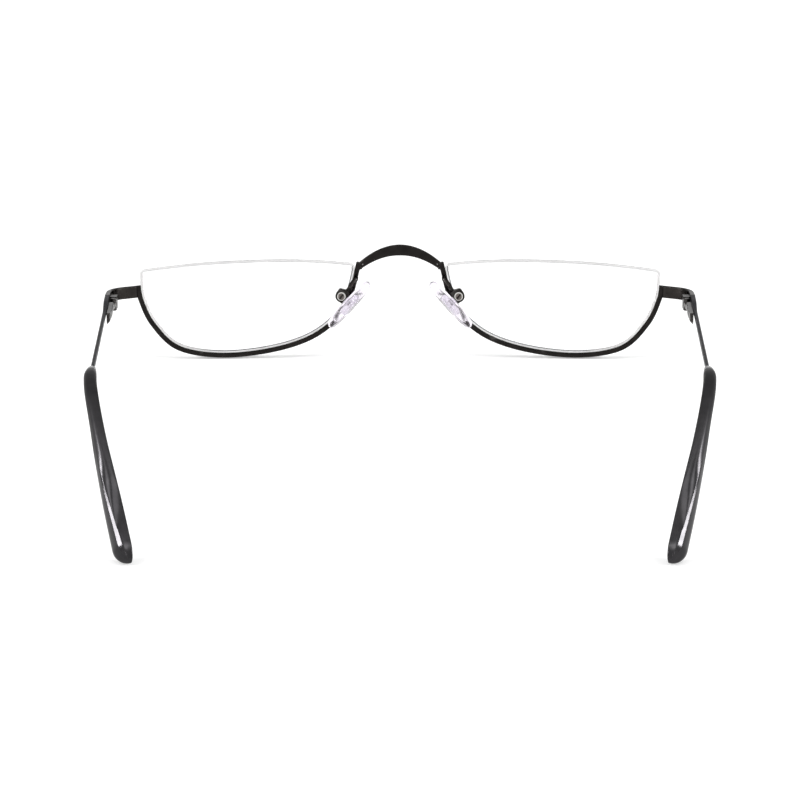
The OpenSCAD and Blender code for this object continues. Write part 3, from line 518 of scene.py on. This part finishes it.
def lens_mesh():
    """A meniscus lens with a grooved, ground edge. Returns vertices, faces and each face's material."""
    n = away(outline, closed=True)

    def front(q):
        return -LENS_MIDDLE / 2 + sag(q, LENS_FRONT_R)

    def rear(q):
        return LENS_MIDDLE / 2 + sag(q, LENS_REAR_R)

    half, groove_floor = GROOVE_W / 2, 0.8
    chamfer, wide_bevel, bevel_drop, line_w = 0.13, 0.40, 0.22, 0.25
    in_rim = np.clip((0.8 - n[:, 1:]) / 0.5, 0, 1)  # 1 where the edge faces the rim, 0 along the bare top
    bevel = chamfer + wide_bevel * in_rim
    rings = []

    def scaled(s, surface, inset=chamfer):
        q = MID + (outline - n * inset - MID) * s
        rings.append(np.stack([q[:, 0], surface(q), q[:, 1]], 1))

    def edge(offset, depth):
        q = outline + n * offset
        rings.append(np.stack([q[:, 0], depth(q), q[:, 1]], 1))

    shares = [0.04, 0.2, 0.4, 0.58, 0.74, 0.86, 0.94, 0.98, 1.0]
    for s in shares:
        scaled(s, rear, bevel + line_w)
    scaled(1.0, rear, bevel)
    edge(0, lambda q: rear(q) - chamfer - bevel_drop * in_rim[:, 0])
    edge(0, lambda q: sag(q) + half)
    edge(-GROOVE_DEPTH, lambda q: sag(q) + half * groove_floor)
    edge(-GROOVE_DEPTH, lambda q: sag(q) - half * groove_floor)
    edge(0, lambda q: sag(q) - half)
    edge(0, lambda q: front(q) + chamfer)
    for s in reversed(shares):
        scaled(s, front)
    v, f = loft(rings)
    m, k = len(outline), len(shares)
    # The line faces, a band line_w wide along the rim, carry the painted shade
    glass, ground, line, edge_rings = 0, 1, 2, 7
    which = []
    for i in range(len(rings) - 1):
        if i == k - 1:
            which += [line if w > 0.5 else glass for w in in_rim[:, 0]]
        else:
            which += [ground if k <= i < k + edge_rings else glass] * m
    return v, f, which + [glass, glass]


def bridge_rings():
    end_y = sag(np.array([LENS_X, LENS_TOP]))
    mid_z = BRIDGE_TOP - BRIDGE_H / 2
    reach = LENS_X - RIM_W / 2
    rings = []
    for s in np.linspace(-1, 1, 121):
        x = s * reach
        z = mid_z - BRIDGE_DROP * abs(s) ** BRIDGE_SHAPE
        slope = -BRIDGE_DROP / reach * BRIDGE_SHAPE * abs(s) ** (BRIDGE_SHAPE - 1) * (1 if s > 0 else -1)
        y = end_y - BRIDGE_BOW * (1 - s * s)
        h = (BRIDGE_END_H + (BRIDGE_H - BRIDGE_END_H) * (1 - abs(s) ** BRIDGE_TAPER)) / 2
        up = unit([-slope, 1])
        rings.append([[x + up[0] * b, y + a, z + up[1] * b]
                      for a, b in rounded_rect(BRIDGE_DEPTH / 2, h, 0.36)])
    return np.array(rings)


def strap_rings():
    """The endpiece: a flat strap out of the rim, round the corner and back to the hinge."""
    r = STRAP_BEND_R - STRAP_T / 2
    way = np.array([math.cos(rad(STRAP_ANGLE)), math.sin(rad(STRAP_ANGLE))])
    arc = [STRAP_CORNER + r * np.array([math.cos(rad(a)), math.sin(rad(a))])
           for a in np.linspace(STRAP_ANGLE - 90, 0, 26)]
    first = (arc[0][0] - RIM_OUTER_X + RIM_W / 2) / way[0]
    path = [arc[0] - way * first * k / 4 for k in (4, 3, 2, 1)] + arc
    path += [np.array([arc[-1][0], STRAP_CORNER[1] + (HINGE[1] - STRAP_CORNER[1]) * k / 3])
             for k in (1, 2, 3)]
    path = np.array([[p[0], p[1], STRAP_TOP - STRAP_H / 2] for p in path])
    return swept(path, [[0, 0, 1.0]] * len(path), rounded_rect(STRAP_H / 2, STRAP_T / 2, 0.22))


def blob(centre, size, tilt, seed):
    """A brazing fillet: a low uneven bead."""
    levels, sides, uneven = 11, 18, 0.08
    rings = []
    for i in range(1, levels + 1):
        a = math.pi * i / (levels + 1)
        row = []
        for j in range(sides):
            b = 2 * math.pi * j / sides
            k = 1 + uneven * math.sin(3 * b + seed) * math.sin(2 * a + seed)
            row.append([size[0] * math.cos(a), size[1] * math.sin(a) * math.cos(b) * k,
                        size[2] * math.sin(a) * math.sin(b) * k])
        rings.append(row)
    return loft(rot(np.array(rings).reshape(-1, 3), "Y", tilt).reshape(levels, sides, 3) + centre)


# --- Arms
ARM_CENTRE = HINGE_OFFSET + STRAP_T / 2
BEND_FROM = BEND_AT - EAR_BEND_R * math.tan(rad(EAR_DROP / 2))
BEND_TO = BEND_FROM + EAR_BEND_R * rad(EAR_DROP)
INWARD_FULL = INWARD_SHARE * (ARM_LEN - INWARD_FROM)
SLEEVE_FROM = ARM_LEN - SLEEVE_LEN
FULL_FROM = ARM_LEN - 1.5 * END_H
TAPER = (HOUSING_START + 1.2, HOUSING_START + HOUSING_LEN)
MOUTH_LEN, MOUTH_ROUND, END_LEN = 0.86 * MOUTH_H, 9.5, 0.68 * END_H


def share_of(a, lo, hi):
    return min(max((a - lo) / (hi - lo), 0.0), 1.0)


def smooth(t):
    return t * t * (3 - 2 * t)


def arm_point(a):
    drop = EAR_DROP * share_of(a, BEND_FROM, BEND_TO)
    rest = max(a - BEND_TO, 0)
    b = max(a - INWARD_FROM, 0)
    c = min(b, INWARD_FULL)
    x = ARM_CENTRE - math.tan(rad(TIP_TURN)) * (c * c / 2 / INWARD_FULL + b - c)
    if a < BEND_FROM:
        return np.array([x, a, HINGE_DROP])
    return np.array([
        x, BEND_FROM + EAR_BEND_R * math.sin(rad(drop)) + rest * math.cos(rad(EAR_DROP)),
        HINGE_DROP - EAR_BEND_R * (1 - math.cos(rad(drop))) - rest * math.sin(rad(EAR_DROP))])


def arm_ring(a, t, h, section):
    """A section drawn from -1 to 1, made t thick and h high across the arm and turned with its twist."""
    d = unit(arm_point(a + 0.01) - arm_point(a - 0.01))
    level = unit(np.array([1.0, 0, 0]) - d * d[0])
    twist = rad(TIP_TWIST * smooth(share_of(a, BEND_FROM, FULL_FROM)))
    out = level * math.cos(twist) + np.cross(level, d) * math.sin(twist)
    up = np.cross(out, d)
    return np.array([arm_point(a) + out * x * t / 2 + up * y * h / 2 for x, y in section])


def metal_t(a):
    return STRAP_T + (ARM_T - STRAP_T) * smooth(share_of(a, *TAPER))


def metal_h(a):
    return STRAP_H + (ARM_H - STRAP_H) * smooth(share_of(a, *TAPER))


def temple_rings():
    rings = []
    for a in np.concatenate([np.linspace(0.15, TAPER[1], 40), np.linspace(TAPER[1], SLEEVE_FROM + 4, 24)[1:]]):
        t, h = metal_t(a), metal_h(a)
        rings.append(arm_ring(a, 2, 2, rounded_rect(t / 2, h / 2, 0.3 * min(t, h), 4)))
    return np.array(rings)


def end_scale(a):
    tip = share_of(a, ARM_LEN - END_LEN, ARM_LEN)
    return math.sqrt(max(1 - tip * tip, 0.02))


def mouth_scale(a):
    """The mouth grows slowly out of the metal strip."""
    return 0.44 + 0.56 * math.sin(rad(90 * share_of(a, SLEEVE_FROM, SLEEVE_FROM + MOUTH_ROUND) ** 0.67))


def sleeve_size(a):
    k = mouth_scale(a) * end_scale(a)
    t = MOUTH_T + (END_T - MOUTH_T) * smooth(share_of(a, BEND_FROM, FULL_FROM))
    h = MOUTH_H + (END_H - MOUTH_H) * smooth(share_of(a, SLEEVE_FROM + 2 * MOUTH_LEN, FULL_FROM))
    return t * k, h * k


# The polished flat and crown of the tips, by their place along the arm in mm
CROWN_FROM, CROWN_FULL, OUTER_SWELL, MOUTH_SWELL = 106.0, 119.0, 0.22, 0.28
FLAT_FROM, FLAT_FULL, FLAT_SHARE, EDGE_FROM, EDGE_GROWTH = 110, 133, 0.22, -0.04, 0.52
FLAT_TURN, FLAT_LESS_AHEAD, CROWN_START, CROWN_END, CROWN_REACH = 26.0, 11.0, 36.0, 78.0, 0.68
POLISHED_POINTS, FLAT_POINTS, REST_POINTS, SQUARE = 33, 8, 59, 0.72
MOUTH_STATIONS, BODY_STATIONS, END_STATIONS = 24, 150, 14
OUTER_RISE, MOUTH_RISE, MOUTH_FALL, STEEPER = (98, 124), (75, 84), (89, 105), (108, 121)
MOUTH_SHIFT, END_BACK, END_BACK_FROM, TRIM_H = 0.06, 0.1, 120, 0.07


def heading(turn):
    return np.array([-math.sin(rad(turn)), math.cos(rad(turn))])


def resampled(curve, shares):
    run = np.concatenate([[0], np.cumsum(np.linalg.norm(np.diff(curve, axis=0), axis=1))])
    return np.array([np.interp(np.array(shares) * run[-1], run, curve[:, k]) for k in (0, 1)]).T


def oval(lo, hi, t, h, swell=0.0, square=SQUARE, count=160):
    """Part of a squarish oval, swollen on its outer side."""
    c, s = np.cos(np.linspace(lo, hi, count)), np.sin(np.linspace(lo, hi, count))
    return np.array([np.sign(c) * abs(c) ** square * t / 2 * np.where(c > 0, 1 + swell, 1),
                     np.sign(s) * abs(s) ** square * h / 2]).T


def tip_section(a, t, h):
    """The tip's section in mm: a narrow polished flat, then a crown. Both fade forwards."""
    w = smooth(share_of(a, CROWN_FROM, CROWN_FULL))
    swell = OUTER_SWELL * smooth(share_of(a, *OUTER_RISE))
    swell += MOUTH_SWELL * smooth(share_of(a, *MOUTH_RISE)) * (1 - smooth(share_of(a, *MOUTH_FALL)))
    grown = share_of(a, FLAT_FROM, FLAT_FULL)
    edge, flat = EDGE_FROM + EDGE_GROWTH * grown, FLAT_SHARE * h * (0.04 + 0.96 * grown ** 0.95)
    turn = FLAT_TURN - FLAT_LESS_AHEAD * (1 - smooth(share_of(a, *STEEPER)))
    lo = math.copysign(math.asin(abs(edge) ** (1 / SQUARE)), edge)
    hi = math.pi - math.acos(CROWN_REACH ** (1 / SQUARE))
    corner, rest = oval(lo, hi, t, h, swell), oval(hi, lo + 2 * math.pi, t, h, swell)
    shares = np.linspace(0, 1, POLISHED_POINTS)
    bend = corner[0] + heading(turn) * flat
    finish = corner[-1]
    knee = bend + heading(CROWN_START) * np.linalg.solve(
        np.array([heading(CROWN_START), heading(CROWN_END)]).T, finish - bend)[0]
    at_bend = shares[FLAT_POINTS]
    u = ((shares[FLAT_POINTS + 1:] - at_bend) / (1 - at_bend))[:, None]
    crown = bend * (1 - u) ** 2 + 2 * knee * u * (1 - u) + finish * u * u
    level = corner[0] + (bend - corner[0]) * (shares[:FLAT_POINTS + 1] / at_bend)[:, None]
    plain = resampled(corner, shares)
    denser_at_ends = (1 - np.cos(np.linspace(0, math.pi, REST_POINTS + 2))) / 2
    return np.vstack([plain + (np.vstack([level, crown]) - plain) * w, resampled(rest, denser_at_ends)[1:-1]])


def tip_rings():
    stations = list(SLEEVE_FROM + MOUTH_ROUND * np.linspace(0, 1, MOUTH_STATIONS) ** 1.8)
    stations += list(np.linspace(SLEEVE_FROM + MOUTH_ROUND, ARM_LEN - END_LEN, BODY_STATIONS)[1:])
    stations += [ARM_LEN - END_LEN * (1 - math.sin(rad(90 * k / END_STATIONS)))
                 for k in range(1, END_STATIONS + 1)]
    rings = []
    for a in stations:
        t, h = sleeve_size(a)
        back = END_BACK * share_of(a, END_BACK_FROM, ARM_LEN)
        ring = arm_ring(a - back, 2, 2, tip_section(a, t, h - TRIM_H))
        inward = END_T * END_SHIFT * (1 - end_scale(a)) + MOUTH_T * MOUTH_SHIFT * (1 - mouth_scale(a))
        rings.append(ring - [inward, 0, 0])
    # A shallow mouth round the metal strip
    n = POLISHED_POINTS + REST_POINTS
    hole = oval(0, 2 * math.pi * (n - 1) / n, 2, 2, square=0.5, count=n)
    lip = [arm_ring(SLEEVE_FROM + d, metal_t(SLEEVE_FROM) * k, metal_h(SLEEVE_FROM) * k, hole)
           for d, k in ((1.2, 1.05), (0.1, 1.12))]
    return np.array(lip + rings)


# --- Nose pads
def pad_rings():
    """A soft cushion. Each level has its share of the outline and its place through the thickness."""
    levels = [(0.30, -0.83), (0.55, -0.80), (0.84, -0.72), (0.97, -0.35), (1, 0.05), (0.94, 0.5), (0.76, 0.84),
              (0.45, 1), (0.2, 1.04)]
    fine, sides = spline(levels, 5), 72
    rings = []
    for share, level in fine:
        row = []
        for k in range(sides):
            a = 2 * math.pi * k / sides
            c, s = math.cos(a), math.sin(a)
            row.append([-level * PAD_T / 2, PAD_W / 2 * share * c * (1 - 0.1 * s),
                        PAD_LEN / 2 * s * (1 - (1 - share) * PAD_W / PAD_LEN)])
        rings.append(row)
    return in_pad(np.array(rings).reshape(-1, 3)).reshape(len(fine), sides, 3)


def pad_arm_rings():
    """A bent wire from the rear of the rim into the pad's box."""
    k = len(rim_edge) - 1 - 2 * FINE // 5
    foot = rim_edge[k] + away(rim_edge)[k] * (RIM_SEAT + RIM_W / 2)
    foot_y = sag(foot) + RIM_DEPTH / 2
    start = np.array([foot[0], foot_y - 0.15, foot[1]])
    first = [start + step for step in ([0, 0, 0], [0.02, 1.35, -0.03], [0.12, 2.75, -0.42])]
    last = from_pad_screw([[ARM_END_X + 0.3, -0.4, BOX_TOP + 1.6], [ARM_END_X + 0.06, -0.04, BOX_TOP + 0.75],
                           [ARM_END_X, 0, BOX_TOP - 0.15]])
    path = spline([*first, *last], 12)
    return swept(path, [[1.0, 0, 0]] * len(path), circle(PAD_WIRE / 2, 15))


# --- The pieces
# Beads of braze near the bridge: place from the rim's end, half sizes, finish. The two small beads in a
# lighter steel colour are painted glints, where the fillets catch highlights
GLINT_BEAD_SIZE = (0.17, 0.13, 0.15)
BRAZE_TILT, BRAZE_SEED, SHRINK = -60, 0.4, 0.03
BRAZE = {
    "braze_bridge": ((-0.1, 0.45, -0.1), (0.42, 0.28, 0.3), GUNMETAL),
    "painted_glint_bead_0": ((-0.55, 0.75, 0.75), GLINT_BEAD_SIZE, MID_STEEL_AND_GLINT),
    "painted_glint_bead_1": ((0.9, 3.9, -2.6), GLINT_BEAD_SIZE, MID_STEEL_AND_GLINT),
}
piece("bridge_strap", *front_loft(bridge_rings()), "left", "front", "gunmetal", GUNMETAL, ["bridge"], sharp=60)

for hand in ("left", "right"):
    piece(f"rim_wire_{hand}", *front_loft(front_rings(rim_path, rim_section())), hand, "front", "gunmetal",
          GUNMETAL, [f"rim_{hand}"], sharp=50)
    half, inner, outer = GROOVE_W / 2 - SHRINK, SHRINK - GROOVE_DEPTH, RIM_SEAT + CHANNEL - SHRINK
    strip = front_rings(rim_edge, [(inner, half), (outer, half), (outer, -half), (inner, -half)])
    piece(f"liner_strip_{hand}", *front_loft(strip), hand, "front", "nylon", NYLON, [f"rim_liner_{hand}"])
    thread = front_rings(bare_edge, circle(CORD_D / 2, 24, CORD_D / 2 + SHRINK - GROOVE_DEPTH))
    piece(f"cord_line_{hand}", *front_loft(thread), hand, "front", "nylon", NYLON,
          [f"lens_cord_{hand}"], sharp=60)

    v, f, which = lens_mesh()
    lens = piece(f"lens_glass_{hand}", on_front(v), f, hand, "front", "lens", [LENS, LENS_EDGE, BEVEL_SHADE_LINE],
                 [f"lens_{hand}"], sharp=28)
    for poly, w in zip(lens.data.polygons, which):
        poly.material_index = w

    piece(f"endpiece_strap_{hand}", *loft(strap_rings()), hand, "front", "gunmetal", STRAP_METAL_SHEEN,
          [f"endpiece_{hand}"], sharp=60)
    piece(f"pad_wire_{hand}", *front_loft(pad_arm_rings()), hand, "front", "gunmetal", GUNMETAL,
          [f"pad_arm_{hand}"], sharp=60)
    from_node(f"pad_holder_{hand}", f"pad_box_{hand}", "front", GUNMETAL, bevel=0.12)
    from_node(f"pad_bolt_{hand}", f"pad_screw_{hand}", "front", HEAD, bevel=0.07)
    piece(f"pad_cushion_{hand}", *loft(pad_rings()), hand, f"pad_{hand}", "pad", PAD,
          [f"nose_pad_{hand}"], sharp=70)
    from_node(f"pad_plate_{hand}", f"pad_core_{hand}", f"pad_{hand}", PAD_CORE, bevel=0.05)
    from_node(f"leaf_{hand}", f"hinge_leaf_{hand}", "front", HINGE_METAL_SHEEN, bevel=0.06)
    from_node(f"hinge_bolt_{hand}", f"hinge_screw_{hand}", "front", DARK_STEEL, bevel=0.05)
    from_node(f"slider_{hand}", f"hinge_slider_{hand}", f"slider_{hand}", MID_STEEL_AND_GLINT, bevel=0.03)
    from_node(f"bush_{hand}", f"hinge_bush_{hand}", f"arm_{hand}", STEEL, bevel=0.02)
    from_node(f"barrel_{hand}", f"hinge_housing_{hand}", f"arm_{hand}", HINGE_METAL_SHEEN, bevel=0.09)
    coil = from_node(f"coil_{hand}", f"hinge_spring_{hand}", f"arm_{hand}", STEEL, bevel=0, sharp=50)
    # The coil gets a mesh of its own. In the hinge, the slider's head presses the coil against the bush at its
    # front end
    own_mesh(coil)

    v, f = loft(temple_rings())
    piece(f"arm_shaft_{hand}", on_arm(v), f, hand, f"arm_{hand}", "gunmetal", ARM_METAL_SHEEN,
          [f"temple_{hand}"], sharp=50)
    v, f = loft(tip_rings())
    piece(f"ear_tip_{hand}", on_arm(v), f, hand, f"arm_{hand}", "tip", TIP, [f"temple_tip_{hand}"], sharp=120)

    horn = rim_path[-3] + away(rim_path)[-3] * (RIM_SEAT + RIM_W)
    for name, ((dx, dy, dz), size, finish) in BRAZE.items():
        v, f = blob([horn[0] + dx, sag(horn) + dy, horn[1] + dz], size, BRAZE_TILT, BRAZE_SEED)
        piece(f"{name}_{hand}", on_front(v), f, hand, "front", "gunmetal", finish, sharp=80)
    v, f = blob([RIM_OUTER_X + 0.15, 1.1, STRAP_TOP - 0.9], (0.7, 0.5, 0.45), 90, 1.1)
    piece(f"braze_endpiece_{hand}", v, f, hand, "front", "gunmetal", GUNMETAL, sharp=80)

# --- Floor, lamps and camera
# The camera: degrees above the floor, metres from where the rims stand, focal length in pixels
CONTACT_Y = -65.244 * MM
EL, DIST, FOCAL = 18.7, 0.800, 3352.0
PICTURE, CONTACT_ROW, SENSOR = 800, 357, 36.0
aim = rad(EL) - math.atan((PICTURE / 2 - CONTACT_ROW) / FOCAL)

cam_data = bpy.data.cameras.new("camera")
cam_data.sensor_fit = "HORIZONTAL"
cam_data.sensor_width = SENSOR
cam_data.lens = FOCAL / PICTURE * SENSOR
cam_data.clip_start, cam_data.clip_end = 0.01, 50.0
cam = bpy.data.objects.new("camera", cam_data)
bpy.context.scene.collection.objects.link(cam)
cam.location = (0, CONTACT_Y + DIST * math.cos(aim), DIST * math.sin(aim))
cam.rotation_mode = "QUATERNION"
cam.rotation_quaternion = Vector((0, -math.cos(rad(EL)), -math.sin(rad(EL)))).to_track_quat("-Z", "Y")
bpy.context.scene.camera = cam

FLOOR_HALF, FLOOR_TONE, FLOOR_GLOW, SKY = 0.9, 0.72, 0.4, 0.5
LAMP_TARGET = Vector((0, 0, 0.01))


def seen_directly(nt):
    """1 for the camera's own rays and for what metal and glass show, else 0."""
    path = nt.nodes.new("ShaderNodeLightPath")
    either = maths(nt, "ADD", path.outputs["Is Camera Ray"], path.outputs["Is Glossy Ray"])
    return maths(nt, "ADD", either, path.outputs["Is Transmission Ray"], clamp=True)


floor_me = bpy.data.meshes.new("floor")
floor_me.from_pydata([(x * FLOOR_HALF, y * FLOOR_HALF, 0) for x, y in ((-1, -1), (1, -1), (1, 1), (-1, 1))],
                     [], [(0, 1, 2, 3)])
floor = bpy.data.objects.new("floor", floor_me)
bpy.context.scene.collection.objects.link(floor)
m, nt, p = tree("floor_white")
nt.nodes.remove(p)
diff = nt.nodes.new("ShaderNodeBsdfDiffuse")
diff.inputs["Color"].default_value = (FLOOR_TONE, FLOOR_TONE, FLOOR_TONE, 1)
glow = nt.nodes.new("ShaderNodeEmission")
glow.inputs["Color"].default_value = (1, 1, 1, 1)
nt.links.new(maths(nt, "MULTIPLY", seen_directly(nt), FLOOR_GLOW), glow.inputs["Strength"])
add = nt.nodes.new("ShaderNodeAddShader")
nt.links.new(diff.outputs[0], add.inputs[0])
nt.links.new(glow.outputs[0], add.inputs[1])
nt.links.new(add.outputs[0], nt.nodes["Material Output"].inputs["Surface"])
floor_me.materials.append(m)

world = bpy.data.worlds.new("studio")
bpy.context.scene.world = world
world.use_nodes = True
nt = world.node_tree
bg = nt.nodes["Background"]
bg.inputs["Color"].default_value = (1, 1, 1, 1)
nt.links.new(spread(nt, seen_directly(nt), SKY, 1.0, 0, 1), bg.inputs["Strength"])


def area(name, place, size, power):
    """A soft rectangular lamp aimed at the glasses."""
    d = bpy.data.lights.new(name, "AREA")
    d.shape, d.size, d.size_y, d.energy = "RECTANGLE", size[0], size[1], power
    o = bpy.data.objects.new(name, d)
    bpy.context.scene.collection.objects.link(o)
    o.location = place
    o.rotation_mode = "QUATERNION"
    o.rotation_quaternion = (LAMP_TARGET - Vector(place)).to_track_quat("-Z", "Y")


for side, hand in ((1, "left"), (-1, "right")):
    area(f"softbox_{hand}", (side * 1.0, 0.13, 0.38), (0.36, 0.18), 7.2)
    area(f"ceiling_{hand}", (side * 0.66, 0.30, 1.02), (0.5, 0.5), 1.25)
    area(f"glow_{hand}", (side * 0.66, 0.30, 1.00), (0.28, 0.28), 0.64)
area("overhead", (0, 0.22, 1.1), (0.42, 0.36), 1.15)

bpy.context.scene.view_settings.view_transform = "Standard"
